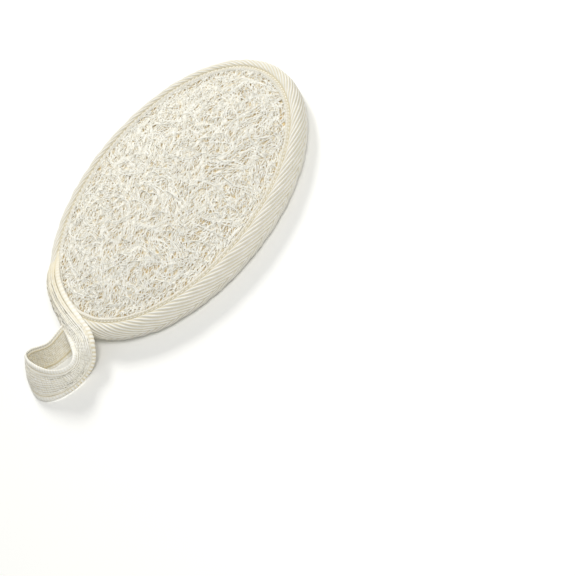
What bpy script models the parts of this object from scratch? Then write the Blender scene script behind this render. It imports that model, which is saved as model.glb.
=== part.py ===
"""An oval bath pad with a face of natural loofah, lying on its back with the loofah up.

The long axis is X, the hanging loop is at -X and the face looks up, +Z. The pad is a stack of
loofah, foam and cotton cloth inside a folded twill tape. The back is hollowed, so that a hand
fits between it and the elastic strap that spans it.
"""

import math
import random

import bmesh
import bpy
from mathutils import Vector
from mathutils.bvhtree import BVHTree

MM = 0.001

# Driving dimensions, in millimetres
PAD_LENGTH = 180.0
PAD_WIDTH = 130.0
RIM_THICKNESS = 13.4
DOME = 9.4
TAPE_THICKNESS = 1.1
TAPE_REACH = 8.8
BEAD_RADIUS = 5.0
REST_FLAT = (3.8, 6.2)
SEAM_INSET = 7.8
SEAM_DIP = 0.5
SEAM_LIFT = 0.9
GAP = 0.3

STRAP_THICKNESS = 1.0
STRAP_RELIEF = 0.4
STRAP_HALF_WAIST = 33.0
STRAP_HALF_END = 43.0
STRAP_RIBS = 30
CLOTH_THICKNESS = 0.8
FOAM_RIM = 2.6
FOAM_CENTRE = 3.8
HOLLOW = 5.7

LOOP_HEIGHT = 20.0
LOOP_THICKNESS = 1.3
LOOP_FLOOR_GAP = 0.4
LAP_SLACK = 0.25

THREAD = 0.5
STITCHES = 70
STITCH_SWAY = 0.4

FIBRES = 215
FIBRE_LENGTH = (15.0, 25.0)
FIBRE_BEND = 5.0
FIBRE_HALF_WIDTH = 0.85
FIBRE_RISE = 1.1
FIBRE_ROOT = 0.8
FIBRE_STEPS = 3
FIBRE_SEED = 11

# How finely the ovals are cut
TAPE_SEGMENTS = 64
LAYER_SEGMENTS = 32
ARC_STEPS = 7
DOME_START = TAPE_REACH + 0.4
LAYER_INSETS = (DOME_START, 16.0, 24.0, 36.0, 49.0, 60.0)

HALF_LENGTH = PAD_LENGTH / 2
HALF_WIDTH = PAD_WIDTH / 2

# Heights of the stack at the rim, from the floor up
LEG_TOP = SEAM_LIFT + TAPE_THICKNESS - 0.1
STRAP_BOTTOM = LEG_TOP + GAP
STRAP_TOP = STRAP_BOTTOM + STRAP_THICKNESS
CLOTH_BOTTOM = STRAP_TOP + GAP
CLOTH_TOP = CLOTH_BOTTOM + CLOTH_THICKNESS
FOAM_BOTTOM = CLOTH_TOP + GAP
FOAM_TOP = FOAM_BOTTOM + FOAM_RIM
LOOFAH_BOTTOM = FOAM_TOP + GAP
UPPER_LEG_TOP = RIM_THICKNESS - SEAM_DIP
UPPER_LEG_BOTTOM = UPPER_LEG_TOP - TAPE_THICKNESS + 0.1
LOOFAH_TOP = UPPER_LEG_BOTTOM - GAP
CAVITY_MIDDLE = (LEG_TOP + UPPER_LEG_BOTTOM) / 2
CAVITY_HALF = (UPPER_LEG_BOTTOM - LEG_TOP) / 2


def clear_scene():
    for thing in list(bpy.data.objects):
        bpy.data.objects.remove(thing)


def material(name, colour, roughness):
    made = bpy.data.materials.new(name)
    made.use_nodes = True
    shader = made.node_tree.nodes["Principled BSDF"]
    shader.inputs["Base Color"].default_value = (*colour, 1.0)
    shader.inputs["Roughness"].default_value = roughness
    shader.inputs["Metallic"].default_value = 0.0
    made.diffuse_color = (*colour, 1.0)
    return made


def add_object(name, data, finish, parent):
    data.materials.append(finish)
    thing = bpy.data.objects.new(name, data)
    thing.parent = parent
    bpy.context.scene.collection.objects.link(thing)
    return thing


def add_mesh(name, bm, finish, parent):
    """Turns a finished bmesh, in millimetres, into an object in metres."""
    bmesh.ops.recalc_face_normals(bm, faces=bm.faces)
    bmesh.ops.scale(bm, vec=(MM, MM, MM), verts=bm.verts)
    mesh = bpy.data.meshes.new(name)
    bm.to_mesh(mesh)
    bm.free()
    thing = add_object(name, mesh, finish, parent)
    mesh.shade_smooth()
    mesh.set_sharp_from_angle(angle=math.radians(40))
    return thing


def on_oval(inset, turn):
    """A point of the pad's outline moved in by inset, at a share of the full turn."""
    angle = 2 * math.pi * turn
    return (HALF_LENGTH - inset) * math.cos(angle), (HALF_WIDTH - inset) * math.sin(angle)


def oval_ring(bm, inset, height, segments):
    return [bm.verts.new((*on_oval(inset, k / segments), height)) for k in range(segments)]


def join_rings(bm, first, second):
    for k in range(len(first)):
        bm.faces.new((first[k - 1], first[k], second[k], second[k - 1]))


def swell(inset):
    """0 under the tape, rising to 1 at the middle of the pad, steepest beside the tape."""
    share = max(0.0, (inset - DOME_START) / (HALF_WIDTH - DOME_START))
    return 1 - (1 - min(share, 1.0)) ** 2.2


def cavity_edge(height):
    """How far in from the outline a layer must end to clear the fold of the tape."""
    share = (height - CAVITY_MIDDLE) / CAVITY_HALF
    return BEAD_RADIUS - (BEAD_RADIUS - TAPE_THICKNESS) * math.sqrt(1 - min(share * share, 1.0)) + GAP


def layer_bmesh(bottom, top):
    """An oval sheet; bottom and top give each face's height at the rim and its rise at the middle."""
    edge = max(cavity_edge(bottom[0]), cavity_edge(top[0]))
    bm = bmesh.new()
    sides = []
    for rim, rise in (bottom, top):
        rings = [
            oval_ring(bm, inset, rim + rise * swell(inset), LAYER_SEGMENTS)
            for inset in (edge, *LAYER_INSETS)
        ]
        for outer, inner in zip(rings, rings[1:]):
            join_rings(bm, outer, inner)
        bm.faces.new(rings[-1])
        sides.append(rings[0])
    join_rings(bm, *sides)
    return bm


def tape_section():
    """(inset, height) of the folded tape's outline, from the lower inner edge round the outside."""
    outer_half = RIM_THICKNESS / 2
    outer = [(TAPE_REACH, SEAM_LIFT), (SEAM_INSET - 0.8, SEAM_LIFT), (REST_FLAT[1], 0.0), (REST_FLAT[0], 0.0)]
    inner = [(TAPE_REACH, UPPER_LEG_BOTTOM)]
    for k in range(ARC_STEPS + 1):
        angle = math.pi * (k + 0.5) / (ARC_STEPS + 1)
        outer.append((
            BEAD_RADIUS * (1 - math.sin(angle)),
            outer_half * (1 - math.cos(angle)),
        ))
        inner.append((
            BEAD_RADIUS - (BEAD_RADIUS - TAPE_THICKNESS) * math.sin(angle),
            CAVITY_MIDDLE + CAVITY_HALF * math.cos(angle),
        ))
    outer += [(BEAD_RADIUS, RIM_THICKNESS), (SEAM_INSET - 0.8, UPPER_LEG_TOP), (TAPE_REACH, UPPER_LEG_TOP)]
    inner.append((TAPE_REACH, LEG_TOP))
    return outer + inner


def build_tape(finish, parent):
    bm = bmesh.new()
    rings = [oval_ring(bm, inset, height, TAPE_SEGMENTS) for inset, height in tape_section()]
    for k in range(len(rings)):
        join_rings(bm, rings[k - 1], rings[k])
    return add_mesh("binding_tape", bm, finish, parent)


def build_strap(finish, parent):
    """The band across the back, narrower at its middle, with ribs along X on its outer side."""
    edge = cavity_edge(STRAP_BOTTOM)
    rows = 2 * STRAP_RIBS
    columns = (-1.0, -0.5, 0.0, 0.5, 1.0)
    bm = bmesh.new()
    outside = []
    inside = []
    for row in range(rows + 1):
        across = 2 * row / rows - 1
        valley = STRAP_RELIEF if row % 2 else 0.0
        outer_row = []
        inner_row = []
        for column in columns:
            x = column * (STRAP_HALF_WAIST + (STRAP_HALF_END - STRAP_HALF_WAIST) * across * across)
            y = across * (HALF_WIDTH - edge) * math.sqrt(1 - (x / (HALF_LENGTH - edge)) ** 2)
            outer_row.append(bm.verts.new((x, y, STRAP_BOTTOM + valley)))
            inner_row.append(bm.verts.new((x, y, STRAP_TOP)))
        outside.append(outer_row)
        inside.append(inner_row)
    for sheet in (outside, inside):
        for a, b in zip(sheet, sheet[1:]):
            for k in range(len(columns) - 1):
                bm.faces.new((a[k], a[k + 1], b[k + 1], b[k]))
    border = [(r, 0) for r in range(rows)] + [(rows, c) for c in range(len(columns) - 1)]
    border += [(r, len(columns) - 1) for r in range(rows, 0, -1)]
    border += [(0, c) for c in range(len(columns) - 1, 0, -1)]
    join_rings(bm, [outside[r][c] for r, c in border], [inside[r][c] for r, c in border])
    return add_mesh("hand_strap", bm, finish, parent)


def fibre(name, centre, heading, length, bend, face):
    """One bundle of fibres: a three-sided rib that lies along the face with its ends dipped into it."""
    along = Vector((math.cos(heading), math.sin(heading)))
    aside = Vector((-along.y, along.x))
    bm = bmesh.new()
    sections = []
    for k in range(FIBRE_STEPS + 1):
        t = 2 * k / FIBRE_STEPS - 1
        middle = centre + along * (length * t / 2) + aside * (bend * (t * t - 0.33))
        tangent = (along * (length / 2) + aside * (2 * bend * t)).normalized()
        side = Vector((-tangent.y, tangent.x)) * FIBRE_HALF_WIDTH
        hit = face.ray_cast(Vector((middle.x, middle.y, 100.0)), Vector((0, 0, -1)))[0]
        ridge = FIBRE_RISE if abs(t) < 1 else -FIBRE_ROOT / 2
        corners = (
            (middle.x - side.x, middle.y - side.y, hit.z - FIBRE_ROOT),
            (middle.x + side.x, middle.y + side.y, hit.z - FIBRE_ROOT),
            (middle.x, middle.y, hit.z + ridge),
        )
        sections.append([bm.verts.new(corner) for corner in corners])
    for a, b in zip(sections, sections[1:]):
        join_rings(bm, a, b)
    bm.faces.new(sections[0])
    bm.faces.new(sections[-1])
    bmesh.ops.recalc_face_normals(bm, faces=bm.faces)
    bmesh.ops.scale(bm, vec=(MM, MM, MM), verts=bm.verts)
    mesh = bpy.data.meshes.new(name)
    bm.to_mesh(mesh)
    bm.free()
    return bpy.data.objects.new(name, mesh)


def fibre_ends_inside(centre, heading, length, bend):
    """Whether the whole rib stays on the face, clear of the tape."""
    limit = TAPE_REACH + 1.2 + FIBRE_HALF_WIDTH
    along = Vector((math.cos(heading), math.sin(heading)))
    aside = Vector((-along.y, along.x))
    for t in (-1.0, 0.0, 1.0):
        p = centre + along * (length * t / 2) + aside * (bend * (t * t - 0.33))
        if (p.x / (HALF_LENGTH - limit)) ** 2 + (p.y / (HALF_WIDTH - limit)) ** 2 > 1:
            return False
    return True


def build_loofah(finish, parent):
    """The pressed loofah: a domed slab with a net of crossing fibre bundles raised from its face."""
    bm = layer_bmesh(
        (LOOFAH_BOTTOM, HOLLOW + FOAM_CENTRE - FOAM_RIM),
        (LOOFAH_TOP, DOME - FIBRE_RISE),
    )
    face = BVHTree.FromBMesh(bm)
    slab = add_mesh("loofah_slab", bm, finish, parent)
    draw = random.Random(FIBRE_SEED)
    net = bpy.data.collections.new("fibre_net")
    golden = math.pi * (3 - math.sqrt(5))
    for k in range(FIBRES):
        reach = math.sqrt((k + 0.5) / FIBRES)
        limit = TAPE_REACH + 3.5
        centre = Vector((
            reach * (HALF_LENGTH - limit) * math.cos(k * golden),
            reach * (HALF_WIDTH - limit) * math.sin(k * golden),
        ))
        for attempt in range(40):
            heading = draw.uniform(0, math.pi)
            length = draw.uniform(*FIBRE_LENGTH) * (1 - attempt / 60)
            bend = draw.uniform(-FIBRE_BEND, FIBRE_BEND)
            if fibre_ends_inside(centre, heading, length, bend):
                net.objects.link(fibre(f"fibre_{k:03d}", centre, heading, length, bend, face))
                break
    slab.parent = None
    union = slab.modifiers.new("net", "BOOLEAN")
    union.operation = "UNION"
    union.operand_type = "COLLECTION"
    union.collection = net
    union.solver = "MANIFOLD"
    bpy.context.view_layer.objects.active = slab
    bpy.ops.object.modifier_apply(modifier="net")
    slab.parent = parent
    for rib in list(net.objects):
        bpy.data.objects.remove(rib)
    bpy.data.collections.remove(net)
    return slab


def build_loop(finish, parent):
    """The tape's free end, on edge: it leaves the rim, curls outward and comes back to the rim."""
    clear = -(GAP + LAP_SLACK + LOOP_THICKNESS / 2)
    curve = bpy.data.curves.new("hanging_loop", "CURVE")
    curve.dimensions = "2D"
    curve.fill_mode = "NONE"
    curve.resolution_u = 5
    curve.extrude = LOOP_HEIGHT / 2 * MM
    route = [on_oval(clear, turn) for turn in (0.497, 0.515, 0.532)]
    route += [(-96.0, -23.5), (-110.0, -24.0), (-122.5, -17.0), (-128.0, -6.0), (-124.5, 5.0)]
    route += [(-114.0, 10.5), (-102.0, 9.0), (-94.2, 8.6)]
    route += [on_oval(clear, turn) for turn in (0.472, 0.458)]
    spline = curve.splines.new("BEZIER")
    spline.bezier_points.add(len(route) - 1)
    for point, (x, y) in zip(spline.bezier_points, route):
        point.co = (x * MM, y * MM, 0)
        point.handle_left_type = point.handle_right_type = "AUTO"
    loop = add_object("hanging_loop", curve, finish, parent)
    loop.location.z = (LOOP_FLOOR_GAP + LOOP_HEIGHT / 2) * MM
    wall = loop.modifiers.new("thickness", "SOLIDIFY")
    wall.thickness = LOOP_THICKNESS * MM
    wall.offset = 0
    return loop


def build_stitches(name, height, finish, parent):
    """A row of lockstitch round the tape, swaying a little to each side from stitch to stitch."""
    curve = bpy.data.curves.new(name, "CURVE")
    curve.dimensions = "3D"
    curve.bevel_depth = THREAD / 2 * MM
    curve.bevel_resolution = 0
    spline = curve.splines.new("POLY")
    spline.points.add(2 * STITCHES - 1)
    spline.use_cyclic_u = True
    for k, point in enumerate(spline.points):
        sway = STITCH_SWAY / 2 if k % 2 else -STITCH_SWAY / 2
        x, y = on_oval(SEAM_INSET + sway, k / (2 * STITCHES))
        point.co = (x * MM, y * MM, height * MM, 1)
    return add_object(name, curve, finish, parent)


def centre_on_origin(parent, length_pieces):
    """Moves the pad along X until the middle of its whole length, loop and all, is over the origin."""
    bpy.context.view_layer.update()
    graph = bpy.context.evaluated_depsgraph_get()
    reach = []
    for piece in length_pieces:
        evaluated = piece.evaluated_get(graph)
        mesh = evaluated.to_mesh()
        reach += [(evaluated.matrix_world @ vertex.co).x for vertex in mesh.vertices]
        evaluated.to_mesh_clear()
    parent.location.x = -(min(reach) + max(reach)) / 2


def main():
    clear_scene()
    pad = bpy.data.objects.new("pad_centre", None)
    bpy.context.scene.collection.objects.link(pad)

    loofah = material("loofah fibre", (0.80, 0.75, 0.65), 0.85)
    foam = material("foam", (0.86, 0.84, 0.76), 0.9)
    cloth = material("plain cotton", (0.86, 0.85, 0.79), 0.85)
    elastic = material("ribbed elastic", (0.85, 0.83, 0.78), 0.8)
    twill = material("cotton twill tape", (0.76, 0.73, 0.65), 0.8)
    thread = material("sewing thread", (0.87, 0.85, 0.79), 0.7)

    build_loofah(loofah, pad)
    add_mesh(
        "foam_core",
        layer_bmesh((FOAM_BOTTOM, HOLLOW), (FOAM_TOP, HOLLOW + FOAM_CENTRE - FOAM_RIM)),
        foam,
        pad,
    )
    add_mesh("back_cloth", layer_bmesh((CLOTH_BOTTOM, HOLLOW), (CLOTH_TOP, HOLLOW)), cloth, pad)
    build_strap(elastic, pad)
    tape = build_tape(twill, pad)
    loop = build_loop(twill, pad)
    build_stitches("stitch_row_front", UPPER_LEG_TOP + GAP + THREAD / 2, thread, pad)
    build_stitches("stitch_row_back", SEAM_LIFT - GAP - THREAD / 2, thread, pad)
    centre_on_origin(pad, (tape, loop))


main()
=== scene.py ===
"""An oval bath pad with a natural loofah face, a folded twill tape and a hanging loop, lying on a table."""
import math
import random

import bpy
import numpy as np
from mathutils import Matrix, Vector


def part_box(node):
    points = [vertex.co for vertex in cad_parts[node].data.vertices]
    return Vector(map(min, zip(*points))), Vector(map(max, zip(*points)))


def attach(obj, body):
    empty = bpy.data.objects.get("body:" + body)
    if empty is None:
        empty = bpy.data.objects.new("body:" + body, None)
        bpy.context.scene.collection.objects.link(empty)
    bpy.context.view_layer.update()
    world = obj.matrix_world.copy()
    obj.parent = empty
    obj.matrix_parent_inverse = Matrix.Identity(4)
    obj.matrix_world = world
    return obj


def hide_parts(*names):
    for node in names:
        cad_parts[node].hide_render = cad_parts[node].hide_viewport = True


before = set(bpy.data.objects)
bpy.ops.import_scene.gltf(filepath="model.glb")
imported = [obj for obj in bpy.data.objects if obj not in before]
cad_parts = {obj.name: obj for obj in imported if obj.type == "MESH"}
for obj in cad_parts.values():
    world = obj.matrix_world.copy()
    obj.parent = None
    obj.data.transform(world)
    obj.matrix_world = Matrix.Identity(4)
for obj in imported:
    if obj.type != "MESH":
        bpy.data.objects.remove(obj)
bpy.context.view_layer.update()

MM = 0.001

# The frame's own places and sizes, in millimetres from the middle of the oval
TAPE_LOW, TAPE_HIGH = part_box("binding_tape")
SLAB_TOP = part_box("loofah_slab")[1].z / MM
CLOTH_LOW, CLOTH_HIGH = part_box("back_cloth")
STRAP_LOW, STRAP_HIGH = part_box("hand_strap")
MIDDLE_X = (TAPE_LOW.x + TAPE_HIGH.x) / 2 / MM
# The solids' tape is faceted, and lies this far inside the true oval
FACET_LOSS = 0.1
HALF_LENGTH = (TAPE_HIGH.x - TAPE_LOW.x) / 2 / MM + FACET_LOSS
HALF_WIDTH = (TAPE_HIGH.y - TAPE_LOW.y) / 2 / MM + FACET_LOSS
RIM_THICKNESS = TAPE_HIGH.z / MM

# The folded tape: how far in it reaches, its fold's radius, its flat legs' heights and its seam
TAPE_REACH = 8.8
TAPE_THICKNESS = 1.1
BEAD_RADIUS = 5.0
UPPER_LEG_TOP = RIM_THICKNESS - 0.5
LOWER_LEG_BOTTOM = 0.9
SEAM_INSET = 7.1

# The crowned face and the hollowed back: the inset where both start to rise, how sharply they do, their
# heights at the rim, and how far each rises. The solids' ribs stand RIB_RISE over the face.
DOME_START = 9.2
DOME_POWER = 2.2
FACE_RIM = 11.6
RIB_RISE = 1.1
FACE_RISE = SLAB_TOP - RIB_RISE - FACE_RIM
CLOTH_RIM = CLOTH_LOW.z / MM
CLOTH_THICKNESS = 0.8
CLOTH_RISE = CLOTH_HIGH.z / MM - CLOTH_RIM - CLOTH_THICKNESS
CLOTH_EDGE = 2.6

# Which way a surface gets its thickness
AGAINST_NORMALS, ALONG_NORMALS = -1, 1
GOLDEN_ANGLE = math.pi * (3 - math.sqrt(5))

# The camera: where it stands round the pad, and where the pad's middle lies in a 576 pixel frame
CAMERA_AZIMUTH = -11.4
CAMERA_ELEVATION = 53.2
CAMERA_ROLL = -43.8
CAMERA_DISTANCE = 650.0
CAMERA_FOCAL_PX = 1191.0
PAD_MIDDLE_HEIGHT = 10.0
PAD_MIDDLE_PX = (-114.1, 95.3)
FRAME_PX = 576
SENSOR = 36.0


def linear(hex_colour):
    """An sRGB hex colour as linear red, green, blue and full alpha."""
    shares = [int(hex_colour[k:k + 2], 16) / 255 for k in (1, 3, 5)]
    return (*[c / 12.92 if c <= 0.04045 else ((c + 0.055) / 1.055) ** 2.4 for c in shares], 1.0)


def add_node(material, kind, settings=None, links=None):
    """Adds a shader node. A setting whose key is a socket goes there, any other to a property."""
    made = material.node_tree.nodes.new(kind)
    for key, value in (settings or {}).items():
        if isinstance(key, int) or key in made.inputs:
            made.inputs[key].default_value = value
        else:
            setattr(made, key, value)
    for key, source in (links or {}).items():
        material.node_tree.links.new(source, made.inputs[key])
    return made


# Camera, light and table

def place_camera():
    azimuth, elevation, roll = (math.radians(a) for a in (CAMERA_AZIMUTH, CAMERA_ELEVATION, CAMERA_ROLL))
    back = Vector((
        math.sin(azimuth) * math.cos(elevation),
        -math.cos(azimuth) * math.cos(elevation),
        math.sin(elevation),
    ))
    level = Vector((math.cos(azimuth), math.sin(azimuth), 0))
    upright = back.cross(level)
    right = level * math.cos(roll) + upright * math.sin(roll)
    up = upright * math.cos(roll) - level * math.sin(roll)
    sight = Vector((PAD_MIDDLE_PX[0] / CAMERA_FOCAL_PX, PAD_MIDDLE_PX[1] / CAMERA_FOCAL_PX, -1)).normalized()
    target = Vector((MIDDLE_X, 0, PAD_MIDDLE_HEIGHT))
    position = target - (right * sight.x + up * sight.y + back * sight.z) * CAMERA_DISTANCE
    data = bpy.data.cameras.new("camera")
    data.sensor_width = SENSOR
    data.lens = CAMERA_FOCAL_PX * SENSOR / FRAME_PX
    camera = bpy.data.objects.new("camera", data)
    bpy.context.scene.collection.objects.link(camera)
    turn = Matrix((right, up, back)).transposed().to_4x4()
    camera.matrix_world = Matrix.Translation(position * MM) @ turn
    bpy.context.scene.camera = camera


def add_area_light(name, place, size, power, colour):
    data = bpy.data.lights.new(name, "AREA")
    data.shape = "DISK"
    data.size = size
    data.energy = power
    data.color = linear(colour)[:3]
    light = bpy.data.objects.new(name, data)
    bpy.context.scene.collection.objects.link(light)
    light.location = place
    aim = Vector((MIDDLE_X * MM, 0, 0)) - Vector(place)
    light.rotation_euler = aim.to_track_quat("-Z", "Y").to_euler()


def light_table():
    """A soft light from the picture's upper left, a weaker one by the camera, and a white room all round."""
    bpy.context.scene.view_settings.view_transform = "Standard"
    world = bpy.data.worlds.new("white room")
    bpy.context.scene.world = world
    world.use_nodes = True
    sky = world.node_tree.nodes["Background"]
    sky.inputs["Color"].default_value = linear("#ffffff")
    sky.inputs["Strength"].default_value = 0.37
    add_area_light("key", place=(0.5, 0.85, 0.8), size=0.4, power=10.0, colour="#fffefb")
    add_area_light("front", place=(0.1, -0.5, 0.9), size=0.5, power=5.5, colour="#ffffff")

    bpy.ops.object.select_all(action="DESELECT")
    bpy.ops.mesh.primitive_plane_add(size=8)
    table = bpy.context.active_object
    table.name = "table"
    paint = bpy.data.materials.new("matt white board")
    paint.use_nodes = True
    shader = paint.node_tree.nodes["Principled BSDF"]
    shader.inputs["Base Color"].default_value = linear("#f6f6f3")
    shader.inputs["Roughness"].default_value = 0.9
    table.data.materials.append(paint)


# Forms that several pieces share

def on_oval(inset, angle):
    """Points of the pad's outline moved in by inset, in millimetres; angle in radians."""
    return MIDDLE_X + (HALF_LENGTH - inset) * np.cos(angle), (HALF_WIDTH - inset) * np.sin(angle)


def inset_of(x, y):
    """How far in from the outline a point lies: the inset of the oval that runs through it."""
    low = np.zeros_like(x)
    high = np.full_like(x, HALF_WIDTH - 0.5)
    for _ in range(24):
        half = (low + high) / 2
        outside = ((x - MIDDLE_X) / (HALF_LENGTH - half)) ** 2 + (y / (HALF_WIDTH - half)) ** 2 > 1
        high = np.where(outside, half, high)
        low = np.where(outside, low, half)
    return (low + high) / 2


def swell(inset):
    """0 under the tape, rising to 1 at the middle of the pad."""
    share = np.clip((inset - DOME_START) / (HALF_WIDTH - DOME_START), 0, 1)
    return 1 - (1 - share) ** DOME_POWER


def wander(x, y, size, seed):
    """A smooth random field, mostly from -1 to 1: seven waves whose bumps are about size across."""
    draw = np.random.default_rng(seed)
    total = 0
    for _ in range(7):
        heading = draw.uniform(0, 2 * math.pi)
        pace = 2 * math.pi / (size * draw.uniform(1.2, 2.8))
        total = total + np.sin(pace * (x * math.cos(heading) + y * math.sin(heading)) + draw.uniform(0, 6.3))
    return total / 4.5


def smooth_step(low, high, value):
    """From 0 where the value is at low to 1 where it is at high."""
    share = np.clip((value - low) / (high - low), 0, 1)
    return share * share * (3 - 2 * share)


def bell(value, middle, width):
    """1 where the value is at the middle, falling to 0 on both sides over about the width."""
    return np.exp(-((value - middle) / width) ** 2)


def wave(value, pitch, phase=0.0):
    """From 1 to -1 and back once in each pitch."""
    return np.cos(2 * math.pi * value / pitch + phase)


def disc_surface(edge, height):
    """A surface function that covers the oval moved in by edge, with height(x, y) for z and the hollows."""
    def surface(u, v):
        y = (HALF_WIDTH - edge) * np.sin((2 * v - 1) * math.pi / 2)
        reach = np.sqrt(np.clip(1 - (y / (HALF_WIDTH - edge)) ** 2, 0, 1))
        x = MIDDLE_X + (2 * u - 1) * (HALF_LENGTH - edge) * reach
        return x, y, *height(x, y)
    return surface


# Making and finishing a piece

def select_only(piece):
    bpy.ops.object.select_all(action="DESELECT")
    piece.select_set(True)
    bpy.context.view_layer.objects.active = piece


def points_of(piece):
    """The piece's points as an array of x, y, z rows."""
    flat = np.empty(len(piece.data.vertices) * 3, np.float32)
    piece.data.vertices.foreach_get("co", flat)
    return flat.reshape(-1, 3).astype(float)


def mark_painted_shade_and_tone(piece, hollow):
    """Stores how deep each point lies in its relief, from 0 on the crests to 1, for the finish to darken as
    painted shade in the hollows; on the loofah the darkening is partly the plant's own tan too.
    """
    values = np.clip(np.broadcast_to(hollow, len(piece.data.vertices)), 0, 1).astype(np.float32)
    piece.data.attributes.new("hollow", "FLOAT", "POINT").data.foreach_set("value", values)


def shaped_grid(name, columns, rows, surface, weld=False):
    """A grid primitive moved onto surface(u, v), which gives x, y, z in millimetres and the hollow share of
    painted shade.
    """
    bpy.ops.object.select_all(action="DESELECT")
    bpy.ops.mesh.primitive_grid_add(x_subdivisions=columns, y_subdivisions=rows, size=1)
    piece = bpy.context.active_object
    piece.name = piece.data.name = name
    flat = points_of(piece)
    x, y, z, hollow = surface(flat[:, 0] + 0.5, flat[:, 1] + 0.5)
    piece.data.vertices.foreach_set("co", (np.stack([x, y, z], 1) * MM).astype(np.float32).ravel())
    piece.data.update()
    mark_painted_shade_and_tone(piece, hollow)
    if weld:
        bpy.ops.object.mode_set(mode="EDIT")
        bpy.ops.mesh.select_all(action="SELECT")
        bpy.ops.mesh.remove_doubles(threshold=0.02 * MM)
        bpy.ops.mesh.normals_make_consistent(inside=False)
        bpy.ops.object.mode_set(mode="OBJECT")
    bpy.ops.object.shade_smooth()
    return piece


def thicken(piece, thickness, way):
    wall = piece.modifiers.new("thickness", "SOLIDIFY")
    wall.thickness = thickness * MM
    wall.offset = way
    select_only(piece)
    bpy.ops.object.modifier_apply(modifier="thickness")


def threads(name, paths, radii):
    """A curve with one round-sectioned spline for each path, made a mesh. paths is (strand, point, xyz)."""
    curve = bpy.data.curves.new(name, "CURVE")
    curve.dimensions = "3D"
    curve.bevel_depth = MM
    curve.bevel_resolution = 0
    curve.use_fill_caps = True
    for path, radius in zip(paths, radii):
        spline = curve.splines.new("POLY")
        spline.points.add(len(path) - 1)
        spline.points.foreach_set("co", np.hstack([path * MM, np.ones((len(path), 1))]).ravel())
        spline.points.foreach_set("radius", radius)
    piece = bpy.data.objects.new(name, curve)
    bpy.context.scene.collection.objects.link(piece)
    select_only(piece)
    bpy.ops.object.convert(target="MESH")
    piece = bpy.context.active_object
    piece.name = piece.data.name = name
    bpy.ops.object.shade_smooth()
    return piece


def finish_piece(piece, finish, slot, *nodes):
    piece.data.materials.clear()
    piece.data.materials.append(finish)
    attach(piece, "root")
    if nodes:
        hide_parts(*nodes)


# Loofah

# The slab under the fibres: how far below the face it lies, its edge, and its height inside the tape's fold
BED_DROP = 0.9
BED_EDGE = 4.2
BED_CEILING = 11.4
BED_THICKNESS = 2.6

# How fibres lie: the turn and phase of their curl, the dip of their ends, how far in they may run under the
# tape, the most that one is pulled back, and their height inside the tape's fold
CURL_TURN = 2.6
CURL_PHASE = 9
END_DIP = 0.5
FIBRE_LIMIT = TAPE_REACH - 1.8
MOST_PULL = 0.9
FIBRE_CEILING = UPPER_LEG_TOP - 1.5
# A bend is measured from its average place, so that a bent fibre stays about its centre
BEND_MIDDLE = 0.33
# Fibres are palest this far over the face, and darkest this much lower, a tan that is partly the plant's own
# and partly painted warm shade in the net's depths
NET_CREST = 0.15
NET_DEPTH = 0.95

# The net's layers, from the bed up. Each has a name, a count and a seed, then ranges in millimetres of the
# fibres' length, radius, height over the face and arch, then the points of one fibre and, in radians, how far
# their headings stray. Many real fibres are too thin to show, so all are drawn thick, 0.4 to 0.7 mm across.
NET_LAYERS = (
    ("net_deep", 2900, 1, (5, 10), (0.26, 0.36), (-0.85, -0.45), (0.1, 0.3), 6, 0.8),
    ("net_middle", 4300, 2, (3, 6.5), (0.22, 0.34), (-0.4, -0.05), (0.1, 0.4), 5, 0.55),
    ("net_top", 4500, 6, (2.5, 5.5), (0.2, 0.32), (-0.15, 0.15), (0.1, 0.45), 5, 0.5),
)

# The main ribs, as the solids lay them, and the loose fibres that make each
RIB_COUNT = 215
RIB_SEED = 11
RIB_TRIES = 40
RIB_LENGTH = (15.0, 25.0)
RIB_BEND = 5.0
RIB_FIELD_INSET = TAPE_REACH + 1.2
RIB_CENTRE_INSET = 3.5
RIB_HALF_WIDTH = 0.85
FIBRES_PER_RIB = 5
LONG_FIBRE_POINTS = 9
HAIR_COUNT = 130


def face_height(x, y):
    """The height of the loofah's face, with the slow swells that pressing leaves in it."""
    inset = inset_of(x, y)
    lumps = 0.35 * wander(x, y, size=11.0, seed=3) * smooth_step(9.0, 14.0, inset)
    brim = 1.2 * bell(inset, middle=9.0, width=3.2)
    return FACE_RIM + FACE_RISE * swell(inset) + lumps + brim


def tucked(height, ceiling, under_tape):
    """A height that the tape's fold keeps under the ceiling where under_tape is 1, and free where it is 0."""
    return height * (1 - under_tape) + np.minimum(height, ceiling) * under_tape


def build_loofah_bed(finish):
    """The slab under the net: pitted, and lower than the fibres that cross it."""
    def height(x, y):
        inset = inset_of(x, y)
        pits = 0.5 * wander(x, y, size=3.0, seed=5) * smooth_step(8.5, 12.0, inset)
        # The whole bed takes the pith's tan, partly painted shade of the pores
        return tucked(face_height(x, y) - BED_DROP + pits, BED_CEILING, smooth_step(9.6, 8.2, inset)), 1.0

    piece = shaped_grid("loofah_bed", columns=110, rows=80, surface=disc_surface(BED_EDGE, height), weld=True)
    thicken(piece, BED_THICKNESS, AGAINST_NORMALS)
    finish_piece(piece, finish, "loofah", "loofah_slab")


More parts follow.
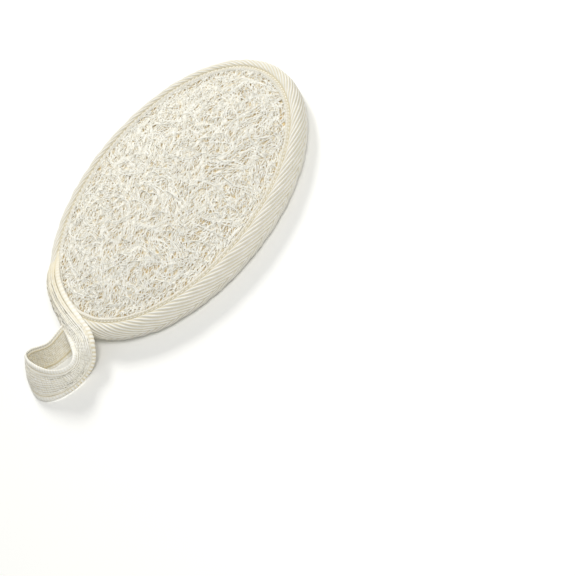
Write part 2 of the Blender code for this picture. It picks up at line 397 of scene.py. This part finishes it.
def strand_paths(centres, headings, lengths, bends, curls, lifts, arches, points):
    """Curved strokes along the face: each rises by its arch at the middle and dips in at its ends."""
    t = np.linspace(-1, 1, points)
    along = np.stack([np.cos(headings), np.sin(headings)], 1)
    aside = np.stack([-along[:, 1], along[:, 0]], 1)
    run = lengths[:, None] / 2 * t
    curl = curls[:, None] * np.sin(CURL_TURN * t + lifts[:, None] * CURL_PHASE)
    sway = bends[:, None] * (t * t - BEND_MIDDLE) + curl
    plan = centres[:, None, :] + run[..., None] * along[:, None, :] + sway[..., None] * aside[:, None, :]
    inset = inset_of(plan[..., 0], plan[..., 1])
    pull = np.clip((FIBRE_LIMIT - inset) / (HALF_WIDTH / 2), 0, MOST_PULL)[..., None]
    plan[..., 0] -= MIDDLE_X
    plan = plan * (1 - pull)
    plan[..., 0] += MIDDLE_X
    x, y = plan[..., 0], plan[..., 1]
    height = face_height(x, y) + lifts[:, None] + arches[:, None] * (1 - t * t) - END_DIP * t ** 6
    height = tucked(height, FIBRE_CEILING, smooth_step(9.3, 8.4, inset_of(x, y)))
    return np.stack([x, y, height], -1)


def lay_fibres(name, paths, radii, finish):
    """One piece of the net. Low fibres keep more of the plant's tan, and their tint is partly painted warm
    shade in the net's depths, so every point's depth is marked.
    """
    piece = threads(name, paths, radii)
    x, y, z = points_of(piece).T / MM
    mark_painted_shade_and_tone(piece, (face_height(x, y) + NET_CREST - z) / NET_DEPTH)
    finish_piece(piece, finish, "loofah")


def scattered(count, draw, inset):
    """Evenly spread points inside an oval, each moved a little by chance."""
    order = np.arange(count) + 0.5
    reach = np.sqrt(order / count)
    turn = order * GOLDEN_ANGLE
    spread = 1.1
    x = MIDDLE_X + (HALF_LENGTH - inset) * reach * np.cos(turn) + draw.normal(0, spread, count)
    y = (HALF_WIDTH - inset) * reach * np.sin(turn) + draw.normal(0, spread, count)
    return np.stack([x, y], 1)


def build_net_layer(finish, name, count, seed, length, width, lift, arch, points, stray):
    """One layer of the net: short curly fibres, combed along the pad, a little differently in each patch."""
    draw = np.random.default_rng(seed)
    centres = scattered(count, draw, TAPE_REACH - 0.6)
    patch = 0.75 * wander(centres[:, 0], centres[:, 1], size=16.0, seed=21)
    headings = 0.15 + patch + draw.normal(0, stray, count)
    lengths = draw.uniform(*length, count)
    bends = draw.uniform(-0.22, 0.22, count) * lengths
    curls = draw.uniform(-0.35, 0.35, count)
    lifts = draw.uniform(*lift, count)
    arches = draw.uniform(*arch, count)
    paths = strand_paths(centres, headings, lengths, bends, curls, lifts, arches, points)
    taper = 1 - 0.45 * np.linspace(-1, 1, points) ** 4
    lay_fibres(name, paths, draw.uniform(*width, count)[:, None] * taper, finish)


def stays_on_face(centre, heading, length, bend):
    """The solids' own test: whether a rib's ends and middle stay on the face, clear of the tape."""
    limit = RIB_FIELD_INSET + RIB_HALF_WIDTH
    along = Vector((math.cos(heading), math.sin(heading)))
    aside = Vector((-along.y, along.x))
    for t in (-1.0, 0.0, 1.0):
        point = centre + along * (length * t / 2) + aside * (bend * (t * t - BEND_MIDDLE))
        if (point.x / (HALF_LENGTH - limit)) ** 2 + (point.y / (HALF_WIDTH - limit)) ** 2 > 1:
            return False
    return True


def rib_rows():
    """Where the solids have their ribs: x, y, heading, length and bend of each. Each try is 1/60 shorter."""
    chance = random.Random(RIB_SEED)
    rows = []
    for k in range(RIB_COUNT):
        reach = math.sqrt((k + 0.5) / RIB_COUNT)
        centre = Vector((
            reach * (HALF_LENGTH - TAPE_REACH - RIB_CENTRE_INSET) * math.cos(k * GOLDEN_ANGLE),
            reach * (HALF_WIDTH - TAPE_REACH - RIB_CENTRE_INSET) * math.sin(k * GOLDEN_ANGLE),
        ))
        for attempt in range(RIB_TRIES):
            heading = chance.uniform(0, math.pi)
            length = chance.uniform(*RIB_LENGTH) * (1 - attempt / 60)
            bend = chance.uniform(-RIB_BEND, RIB_BEND)
            if stays_on_face(centre, heading, length, bend):
                rows.append((centre.x + MIDDLE_X, centre.y, heading, length, bend))
                break
    return np.array(rows)


def build_ribs(finish):
    """The net's main ribs: each is a loose bundle of fibres."""
    draw = np.random.default_rng(8)
    rows = np.repeat(rib_rows(), FIBRES_PER_RIB, axis=0)
    count = len(rows)
    centres = rows[:, :2] + draw.normal(0, 1.0, (count, 2))
    headings = rows[:, 2] + draw.normal(0, 0.07, count)
    lengths = rows[:, 3] * draw.uniform(0.75, 1.05, count)
    bends = rows[:, 4] * draw.uniform(0.7, 1.2, count)
    curls = draw.uniform(-0.5, 0.5, count)
    lifts = draw.uniform(-0.4, 0.05, count)
    arches = draw.uniform(0.1, 0.35, count)
    paths = strand_paths(centres, headings, lengths, bends, curls, lifts, arches, LONG_FIBRE_POINTS)
    radii = draw.uniform(0.2, 0.3, count)[:, None] * np.ones(LONG_FIBRE_POINTS)
    lay_fibres("loofah_ribs", paths, radii, finish)


def build_hairs(finish):
    """A few long stray fibres that stand off the face."""
    draw = np.random.default_rng(14)
    centres = scattered(HAIR_COUNT, draw, TAPE_REACH + 5)
    headings = draw.uniform(0, math.pi, HAIR_COUNT)
    lengths = draw.uniform(7, 14, HAIR_COUNT)
    bends = draw.uniform(-2.5, 2.5, HAIR_COUNT)
    curls = draw.uniform(-0.6, 0.6, HAIR_COUNT)
    lifts = draw.uniform(0.1, 0.6, HAIR_COUNT)
    arches = draw.uniform(0.4, 1.4, HAIR_COUNT)
    paths = strand_paths(centres, headings, lengths, bends, curls, lifts, arches, LONG_FIBRE_POINTS)
    radii = draw.uniform(0.16, 0.26, HAIR_COUNT)[:, None] * np.ones(LONG_FIBRE_POINTS)
    lay_fibres("loofah_hairs", paths, radii, finish)


# Binding

RIM_LENGTH = 2 * math.pi * math.sqrt((HALF_LENGTH ** 2 + HALF_WIDTH ** 2) / 2)
# The twill: its slant, its ridges round the rim and their height. They come about 1.6 mm apart.
TWILL_SLANT = math.radians(20)
TWILL_RIDGES = 104
TWILL_HEIGHT = 0.4
COLUMNS_PER_RIDGE = 10
# The rolled selvedge: the inset of its edge, its width, its thread's pitch, and its groove's place
SELVEDGE_REACH = TAPE_REACH + 0.5
SELVEDGE_WIDTH = 2.5
SELVEDGE_PITCH = 2.2
SELVEDGE_GROOVE = 2.75
# The share of the grid's rows that the tape's inner side has. Of the outer side's rows, the upper selvedge
# takes the second share, though it is only the third share of the width.
INNER_ROWS = 0.16
SELVEDGE_ROWS = 0.17
SELVEDGE_SHARE = 0.09
# The inset where the tape's legs leave the fold
LEG_START = 6.0

# The sewing: the stitches in a row, their thread's radius, and how each length rises and dips
STITCH_COUNT = 176
STITCH_RADIUS = 0.2
STITCH_ARCH = 0.3
STITCH_SINK = 0.28
STITCH_POINTS = 5


def tape_outline():
    """The folded tape's outer line from the upper selvedge over the rim to the lower one: (inset, height)."""
    arc = np.linspace(0.06, math.pi - 0.06, 40)
    half = RIM_THICKNESS / 2
    inset = np.concatenate([
        [SELVEDGE_REACH, SEAM_INSET, LEG_START],
        BEAD_RADIUS * (1 - np.sin(arc)),
        [LEG_START, SEAM_INSET, SELVEDGE_REACH],
    ])
    height = np.concatenate([
        [UPPER_LEG_TOP - 0.1, UPPER_LEG_TOP - 0.1, UPPER_LEG_TOP + 0.3],
        half * (1 + np.cos(arc)),
        [0.0, LOWER_LEG_BOTTOM, LOWER_LEG_BOTTOM],
    ])
    return inset, height


def tape_relief(u, angle, along, from_edge):
    """How high the twill, the rolled selvedge and its groove stand, and how deep each point lies in them, for
    painted shade.
    """
    body = smooth_step(2.8, 3.7, from_edge)
    ridge = 0.5 - 0.5 * np.cos(2 * math.pi * u * TWILL_RIDGES)
    relief = TWILL_HEIGHT * (ridge ** 1.3) * body
    roll = np.sin(np.clip(from_edge / SELVEDGE_WIDTH, 0, 1) * math.pi)
    rung = 0.5 + 0.5 * wave(along + 0.5 * from_edge, SELVEDGE_PITCH)
    relief += (0.55 + 0.3 * rung) * roll
    dimple = 0.5 - 0.5 * np.cos(angle * STITCH_COUNT)
    relief -= (0.35 + 0.2 * dimple) * bell(from_edge, SELVEDGE_GROOVE, width=0.42)
    # Painted shade in the twill's valleys and in the groove
    hollow = body * (1 - ridge) * 0.75 + bell(from_edge, SELVEDGE_GROOVE, width=0.5) * (0.75 + 0.25 * dimple)
    # Painted shade between the selvedge's thread rungs
    hollow += 0.55 * (1 - rung) * smooth_step(2.6, 1.8, from_edge)
    # Painted shade: the groove's side of the roll is tinted darker
    hollow += 0.3 * smooth_step(0.7, 1.5, from_edge) * smooth_step(3.4, 2.8, from_edge)
    return relief, hollow


def tape_surface(u, v):
    """u runs round the rim, v from the upper selvedge over the fold to the lower one, and back inside."""
    insets, heights = tape_outline()
    steps = np.hypot(np.diff(insets), np.diff(heights))
    line = np.concatenate([[0], np.cumsum(steps)])
    width = line[-1]
    outer = v <= 1 - INNER_ROWS
    out_share = np.interp(v / (1 - INNER_ROWS), [0, SELVEDGE_ROWS, 1], [0, SELVEDGE_SHARE, 1])
    in_share = 1 - (v - 1 + INNER_ROWS) / INNER_ROWS
    across = np.clip(np.where(outer, out_share, in_share) * width, 0, width)
    from_middle = np.abs(across - width / 2)
    skew = (width / 2 - from_middle) / math.tan(TWILL_SLANT)
    angle = 2 * math.pi * u + skew / (RIM_LENGTH / (2 * math.pi))
    along = angle * RIM_LENGTH / (2 * math.pi)

    inset = np.interp(across, line, insets)
    height = np.interp(across, line, heights)
    step = 0.2
    slope_in = np.interp(across + step, line, insets) - np.interp(across - step, line, insets)
    slope_up = np.interp(across + step, line, heights) - np.interp(across - step, line, heights)
    size = np.hypot(slope_in, slope_up)
    normal_in, normal_up = slope_up / size, -slope_in / size

    from_edge = np.minimum(across, width - across)
    relief, hollow = tape_relief(u, angle, along, from_edge)
    x, y = on_oval(inset, angle)
    puckers = 0.22 * wander(x, y + height, size=7.0, seed=31)
    puckers += 0.16 * wander(x, y - height, size=3.4, seed=32)
    relief += puckers * smooth_step(0.5, 4.0, from_edge)
    relief = np.where(outer, relief, -TAPE_THICKNESS)
    edge_waver = 0.3 * wander(along, along * 0, size=9.0, seed=33) * smooth_step(4.0, 0.0, from_edge)
    x, y = on_oval(inset + normal_in * relief + edge_waver, angle)
    return x, y, np.maximum(height + normal_up * relief, 0.02), hollow


def build_binding(finish):
    columns = TWILL_RIDGES * COLUMNS_PER_RIDGE
    piece = shaped_grid("binding", columns, rows=68, surface=tape_surface, weld=True)
    finish_piece(piece, finish, "twill_tape", "binding_tape")


def build_stitches(name, node, height, finish):
    """A row of short thread lengths, each dipping into the tape at both ends."""
    t = np.linspace(-1, 1, STITCH_POINTS)
    up = 1 if height > RIM_THICKNESS / 2 else -1
    paths = []
    for k in range(STITCH_COUNT):
        angle = 2 * math.pi * (k + 0.3 * t) / STITCH_COUNT
        x, y = on_oval(SEAM_INSET - 0.1 + 0.1 * t, angle)
        paths.append(np.stack([x, y, height + up * STITCH_ARCH * (1 - t ** 2) - up * STITCH_SINK], 1))
    radii = np.full((STITCH_COUNT, STITCH_POINTS), STITCH_RADIUS)
    piece = threads(name, np.array(paths), radii)
    finish_piece(piece, finish, "thread", node)


# Hanging loop

# One width of the tape at a time: its lower or right edge, its upper or left edge, and how far it bows out.
# In millimetres from the middle of the oval. It starts on the rim, twists onto its edge and comes back.
LOOP_ROUTE = (
    ((-57.5, 40.2, 11.4), (-63.6, 44.2, 5.0), 1.4),
    ((-62.2, 36.6, 12.1), (-69.4, 41.0, 5.2), 2.5),
    ((-66.5, 32.8, 12.7), (-74.3, 37.2, 5.4), 3.4),
    ((-70.4, 28.4, 13.2), (-79.0, 32.6, 5.8), 4.2),
    ((-74.6, 22.2, 13.5), (-83.4, 26.2, 6.3), 4.3),
    ((-78.6, 13.2, 13.6), (-87.9, 17.2, 7.0), 4.2),
    ((-81.6, 3.0, 13.8), (-91.4, 8.2, 8.2), 3.8),
    ((-84.2, -8.0, 13.8), (-94.0, 0.0, 10.2), 3.1),
    ((-86.8, -17.5, 12.8), (-96.2, -7.6, 12.2), 2.2),
    ((-91.4, -23.6, 11.2), (-98.4, -14.4, 13.9), 1.4),
    ((-97.2, -24.2, 5.4), (-101.0, -19.2, 15.2), 0.9),
    ((-103.8, -23.3, 2.0), (-104.4, -21.8, 15.9), 0.6),
    ((-110.7, -22.2, 1.2), (-108.4, -21.0, 16.0), 0.6),
    ((-117.2, -20.1, 1.1), (-112.2, -17.6, 16.0), 0.8),
    ((-123.2, -17.0, 1.2), (-115.2, -12.4, 16.0), 1.0),
    ((-127.9, -12.6, 1.2), (-116.9, -6.6, 16.0), 1.0),
    ((-130.2, -6.8, 1.2), (-117.6, -1.0, 16.0), 1.0),
    ((-129.8, -0.4, 1.2), (-117.4, 3.6, 16.0), 1.0),
    ((-126.8, 5.0, 1.2), (-115.8, 6.6, 15.9), 1.0),
    ((-121.8, 5.6, 1.2), (-112.6, 5.8, 15.5), 0.7),
    ((-117.0, 1.6, 1.2), (-109.0, 3.0, 15.0), 0.4),
    ((-112.0, -2.2, 1.2), (-104.6, 0.6, 14.3), 0.3),
    ((-106.2, -4.4, 1.2), (-99.4, 0.9, 13.3), 0.3),
    ((-98.6, -5.8, 1.3), (-94.2, 1.9, 12.3), 0.3),
    ((-87.0, -7.0, 1.8), (-86.5, 3.2, 10.6), 0.3),
)
# The tape as it is woven: its sizes, and the pitches of its ribs, which run along it, and of its threads
LOOP_WIDTH = 20.0
LOOP_LENGTH = 150.0
LOOP_THICKNESS = 1.0
LOOP_RIB_PITCH = 1.43
LOOP_THREAD_PITCH = 1.5
# The rolled hems of its two edges, the pitch of their stitches, and their groove, in hem widths from the edge
RIGHT_HEM, LEFT_HEM = 2.3, 2.0
RUNG_PITCH = 1.8
HEM_GROOVE = 1.2


def eased(rows, share):
    """The smooth line through evenly spaced rows of values, at share from 0 to 1 of it."""
    place = np.clip(share, 0, 1) * (len(rows) - 1)
    k = np.minimum(place.astype(int), len(rows) - 2)
    t = (place - k)[:, None]
    before, here = rows[np.maximum(k - 1, 0)], rows[k]
    after, later = rows[k + 1], rows[np.minimum(k + 2, len(rows) - 1)]
    cubic = 3 * (here - after) + later - before
    square = 2 * before - 5 * here + 4 * after - later + t * cubic
    return here + 0.5 * t * (after - before + t * square)


def crossed(across, ahead):
    """The unit direction square to both."""
    out = np.cross(across, ahead)
    return out / (np.linalg.norm(out, axis=1, keepdims=True) + 1e-9)


def loop_place(u, v):
    """The smooth tape's points, its outward direction, and its direction from edge to edge."""
    first_edge, second_edge, bows = (np.array(column) for column in zip(*LOOP_ROUTE))
    middle = (first_edge + second_edge) / 2
    step = 0.004
    first, second = eased(first_edge, u), eased(second_edge, u)
    bow = eased(bows[:, None], u)[:, 0]
    ahead = eased(middle, u + step) - eased(middle, u - step)
    across = second - first
    point = first + across * v[:, None] + crossed(across, ahead) * (4 * v * (1 - v) * bow)[:, None]
    slope = across + crossed(across, ahead) * (4 * (1 - 2 * v) * bow)[:, None]
    return point, crossed(slope, ahead), across


def loop_surface(u, v):
    """u runs along the tape, v across it from the lower or right edge."""
    point, out, across = loop_place(u, v)
    along, aside = u * LOOP_LENGTH, v * LOOP_WIDTH
    right_half = v < 0.5
    from_edge = np.minimum(v, 1 - v) * LOOP_WIDTH
    hem_share = from_edge / np.where(right_half, RIGHT_HEM, LEFT_HEM)

    body = smooth_step(1.3, 2.0, hem_share)
    drift = 0.14 * wander(along * 0.5, aside, size=5.0, seed=43)
    ribs = 0.5 - 0.5 * wave(aside + drift, LOOP_RIB_PITCH)
    knots = wander(along * 0.6, aside, size=1.3, seed=44)
    relief = 0.32 * ribs ** 1.2 * body
    relief += (0.09 * wave(along, LOOP_THREAD_PITCH) + 0.12 * knots) * body
    roll = np.sin(np.clip(hem_share, 0, 1) * math.pi)
    # The hems' stitches show most on the tape's middle stretch
    laddered = 0.3 + 0.7 * smooth_step(0.28, 0.36, u) * smooth_step(0.58, 0.5, u)
    rungs = 0.5 + 0.5 * wave(along, RUNG_PITCH, 0.8 * wander(along, along * 0, size=5.0, seed=45))
    relief += (np.where(right_half, 0.25, 0.45) + 0.14 * rungs * laddered) * roll
    relief -= 0.26 * bell(hem_share, HEM_GROOVE, width=0.25)
    relief += 0.22 * wander(along, aside, size=9.0, seed=41) + 0.1 * wander(along, aside, size=4.0, seed=42)
    notch = 0.22 * rungs * smooth_step(1.2, 0.0, from_edge)

    # The relief fades out where the tape is sewn into the rim
    free = smooth_step(0.03, 0.16, u)
    point = point + out * (relief * free)[:, None]
    point += across / LOOP_WIDTH * (notch * np.where(right_half, -1, 1))[:, None]
    x, y, z = point.T
    # Painted shade in the ribs' valleys, the hems' grooves and between the hems' stitches
    hollow = body * (1 - ribs) * (0.65 + 0.35 * knots) + bell(hem_share, HEM_GROOVE, width=0.3)
    hollow += np.where(right_half, 0.95 * laddered, 0.4) * (1 - rungs) * smooth_step(1.2, 0.5, hem_share)
    # The tint is stronger over the tape's first stretch from the rim
    hollow += 0.3 * smooth_step(0.34, 0.1, u)
    # Where the tape is sewn into the rim, its painted shade is an even 0.6 share
    return x + MIDDLE_X, y, np.maximum(z, 0.05), hollow * free + 0.6 * (1 - free)


def build_loop(finish):
    piece = shaped_grid("loop_tape", columns=560, rows=40, surface=loop_surface)
    thicken(piece, LOOP_THICKNESS, AGAINST_NORMALS)
    # The outer side's points come first, and that side gets a little more painted shade
    hollow = np.empty(len(piece.data.vertices), np.float32)
    piece.data.attributes["hollow"].data.foreach_get("value", hollow)
    hollow[:len(hollow) // 2] += 0.05
    piece.data.attributes["hollow"].data.foreach_set("value", hollow)
    finish_piece(piece, finish, "twill_tape", "hanging_loop")


# Back

# Sizes of the cloth, the foam and the strap. The foam's lift is over the cloth's underside, and the strap's
# over its own lowest place in the solids.
CLOTH_RIB_PITCH = 1.5
CLOTH_RIB_HEIGHT = 0.2
CLOTH_WALL = 0.6
FOAM_EDGE = 2.8
FOAM_LIFT = 1.3
FOAM_THICKNESS = 2.2
STRAP_HALF_WAIST = 33.0
STRAP_HALF_END = 43.0
STRAP_LIFT = 0.45
STRAP_WALL = 0.7
STRAP_RIB_PITCH = 2.0
STRAP_RIB_HEIGHT = 0.3


def build_back_cloth(finish):
    """The cotton back: ribbed where it shows, smooth under the tape, and drawn up into a hollow."""
    def height(x, y):
        # Painted shade: the valleys between the ribs get the hollow colour
        valley = 0.5 + 0.5 * wave(y, CLOTH_RIB_PITCH)
        ribs = CLOTH_RIB_HEIGHT * valley * smooth_step(8.0, 10.0, inset_of(x, y))
        return CLOTH_RIM + CLOTH_RISE * swell(inset_of(x, y)) + ribs, valley

    surface = disc_surface(CLOTH_EDGE, height)
    piece = shaped_grid("back_lining", columns=30, rows=330, surface=surface, weld=True)
    thicken(piece, CLOTH_WALL, ALONG_NORMALS)
    finish_piece(piece, finish, "back_cotton", "back_cloth")
    return piece


def build_foam(finish):
    """The foam sheet between the cloth and the loofah, which follows the hollow of the back."""
    def height(x, y):
        cells = 0.15 * wander(x, y, size=2.4, seed=51)
        return CLOTH_RIM + FOAM_LIFT + CLOTH_RISE * swell(inset_of(x, y)) + cells, 0.5 + 3 * cells

    surface = disc_surface(FOAM_EDGE, height)
    piece = shaped_grid("foam_pad", columns=60, rows=50, surface=surface, weld=True)
    thicken(piece, FOAM_THICKNESS, ALONG_NORMALS)
    finish_piece(piece, finish, "foam", "foam_core")


def build_strap(finish):
    """The elastic band across the back: ribbed along its stretch, narrower at the middle than at its ends."""
    reach = STRAP_HIGH.y / MM

    def surface(u, v):
        y = (2 * v - 1) * reach
        half = STRAP_HALF_WAIST + (STRAP_HALF_END - STRAP_HALF_WAIST) * (y / reach) ** 2
        x = (2 * u - 1) * half
        crest = (0.5 + 0.5 * wave(y, STRAP_RIB_PITCH)) ** 0.8
        edge = 0.25 * bell(half - np.abs(x), middle=0.8, width=0.6)
        # The band's corners are kept inside the tape's fold
        limit = (HALF_LENGTH - 4.2) * np.sqrt(np.clip(1 - (y / (HALF_WIDTH - 3.7)) ** 2, 0, 1))
        x = np.clip(x, -limit, limit)
        z = STRAP_LOW.z / MM + STRAP_LIFT - STRAP_RIB_HEIGHT * crest - edge
        # Painted shade between the band's ribs
        return x + MIDDLE_X, y, z, 1 - crest

    piece = shaped_grid("elastic_strap", columns=40, rows=480, surface=surface)
    thicken(piece, STRAP_WALL, ALONG_NORMALS)
    finish_piece(piece, finish, "elastic", "hand_strap")
    return piece


# Finishes

def mixed_finish(name, colours, painted_shade_and_tone_colour, grain, roughness, bump, bump_height):
    """Two colours in soft patches, a third painted in the hollows as shade (on the loofah partly its own
    tan), and a fine bump. All sizes are in millimetres.
    """
    finish = bpy.data.materials.new(name)
    finish.use_nodes = True
    shader = finish.node_tree.nodes["Principled BSDF"]
    shader.inputs["Roughness"].default_value = roughness
    shader.inputs["Specular IOR Level"].default_value = 0.2
    place = add_node(finish, "ShaderNodeTexCoord")
    patches = add_node(
        finish,
        "ShaderNodeTexNoise",
        {"Scale": 1 / (grain * MM), "Detail": 3.0, "Roughness": 0.6},
        {"Vector": place.outputs["Object"]},
    )
    ramp = add_node(finish, "ShaderNodeValToRGB", links={"Fac": patches.outputs["Fac"]})
    for stop, position, colour in zip(ramp.color_ramp.elements, (0.36, 0.64), colours):
        stop.position = position
        stop.color = linear(colour)
    # Painted shade: each point's stored hollow share mixes in the hollow colour
    depth = add_node(finish, "ShaderNodeAttribute", {"attribute_name": "hollow"})
    blend = add_node(
        finish,
        "ShaderNodeMixRGB",
        {"Color2": linear(painted_shade_and_tone_colour)},
        {"Fac": depth.outputs["Fac"], "Color1": ramp.outputs["Color"]},
    )
    weave = add_node(
        finish,
        "ShaderNodeTexNoise",
        {"Scale": 1 / (bump * MM), "Detail": 2.0},
        {"Vector": place.outputs["Object"]},
    )
    relief = add_node(
        finish,
        "ShaderNodeBump",
        {"Strength": 0.6, "Distance": bump_height * MM},
        {"Height": weave.outputs["Fac"]},
    )
    finish.node_tree.links.new(blend.outputs["Color"], shader.inputs["Base Color"])
    finish.node_tree.links.new(relief.outputs["Normal"], shader.inputs["Normal"])
    return finish


def mix_finishes():
    """Every finish of the pad, by what it covers."""
    finishes = {}
    # Dried loofah fibre, bleached: cream on top, tan in the depths of the net, partly its own tan and partly
    # painted warm shade, with a dull shine
    finishes["fibre"] = mixed_finish(
        "bleached loofah fibre", ("#ebe9de", "#f4f3ec"), "#e8d6a9",
        grain=1.6, roughness=0.7, bump=0.5, bump_height=0.05,
    )
    # The loofah's pith, which bleach reaches less: a matt tan between the fibres, partly its own colour and
    # partly painted warm shade of the pores
    finishes["pith"] = mixed_finish(
        "tan loofah pith", ("#d0bd90", "#e5d8b5"), "#dfcb9e",
        grain=2.5, roughness=0.85, bump=0.6, bump_height=0.1,
    )
    # Unbleached cotton twill, woven matt: grey cream ridges with painted tan shade between them
    finishes["twill"] = mixed_finish(
        "cotton twill", ("#e3e2da", "#ebeae5"), "#cdc3a5",
        grain=6.0, roughness=0.85, bump=0.8, bump_height=0.25,
    )
    # The same twill where it hangs free of the rim, worn softer, and painted paler as painted light on the
    # hanging loop
    finishes["soft twill"] = mixed_finish(
        "soft cotton twill painted lighter", ("#efeee5", "#f6f5ef"), "#d8cba6",
        grain=5.0, roughness=0.9, bump=0.8, bump_height=0.15,
    )
    # Plain woven cotton: pale and matt, hardly darker between its ribs, where the darkening is painted shade
    finishes["cotton"] = mixed_finish(
        "woven cotton", ("#f1f0e6", "#f8f7ef"), "#dcd8c6",
        grain=8.0, roughness=0.85, bump=0.4, bump_height=0.05,
    )
    # Covered elastic: a little warmer than the cotton, with clear painted shade between its ribs
    finishes["elastic"] = mixed_finish(
        "ribbed elastic", ("#efecdf", "#f6f4ea"), "#cdc5aa",
        grain=6.0, roughness=0.8, bump=0.4, bump_height=0.06,
    )
    # Open-celled foam: white, dull and grainy
    finishes["foam"] = mixed_finish(
        "white foam", ("#f2f0e8", "#faf9f3"), "#e4e0d0",
        grain=2.0, roughness=0.9, bump=0.8, bump_height=0.2,
    )
    # Spun cotton thread, the palest of all
    finishes["thread"] = mixed_finish(
        "cotton thread", ("#f4f2e8", "#fcfbf6"), "#e6e0cc",
        grain=2.0, roughness=0.8, bump=0.25, bump_height=0.04,
    )
    return finishes


def main():
    place_camera()
    light_table()
    finishes = mix_finishes()

    build_loofah_bed(finishes["pith"])
    for layer in NET_LAYERS:
        build_net_layer(finishes["fibre"], *layer)
    build_ribs(finishes["fibre"])
    build_hairs(finishes["fibre"])
    build_binding(finishes["twill"])
    build_loop(finishes["soft twill"])
    build_stitches("front_stitches", "stitch_row_front", UPPER_LEG_TOP + 0.1, finishes["thread"])
    build_stitches("back_stitches", "stitch_row_back", LOWER_LEG_BOTTOM - 0.1, finishes["thread"])
    cloth = build_back_cloth(finishes["cotton"])
    build_foam(finishes["foam"])
    strap = build_strap(finishes["elastic"])


main()
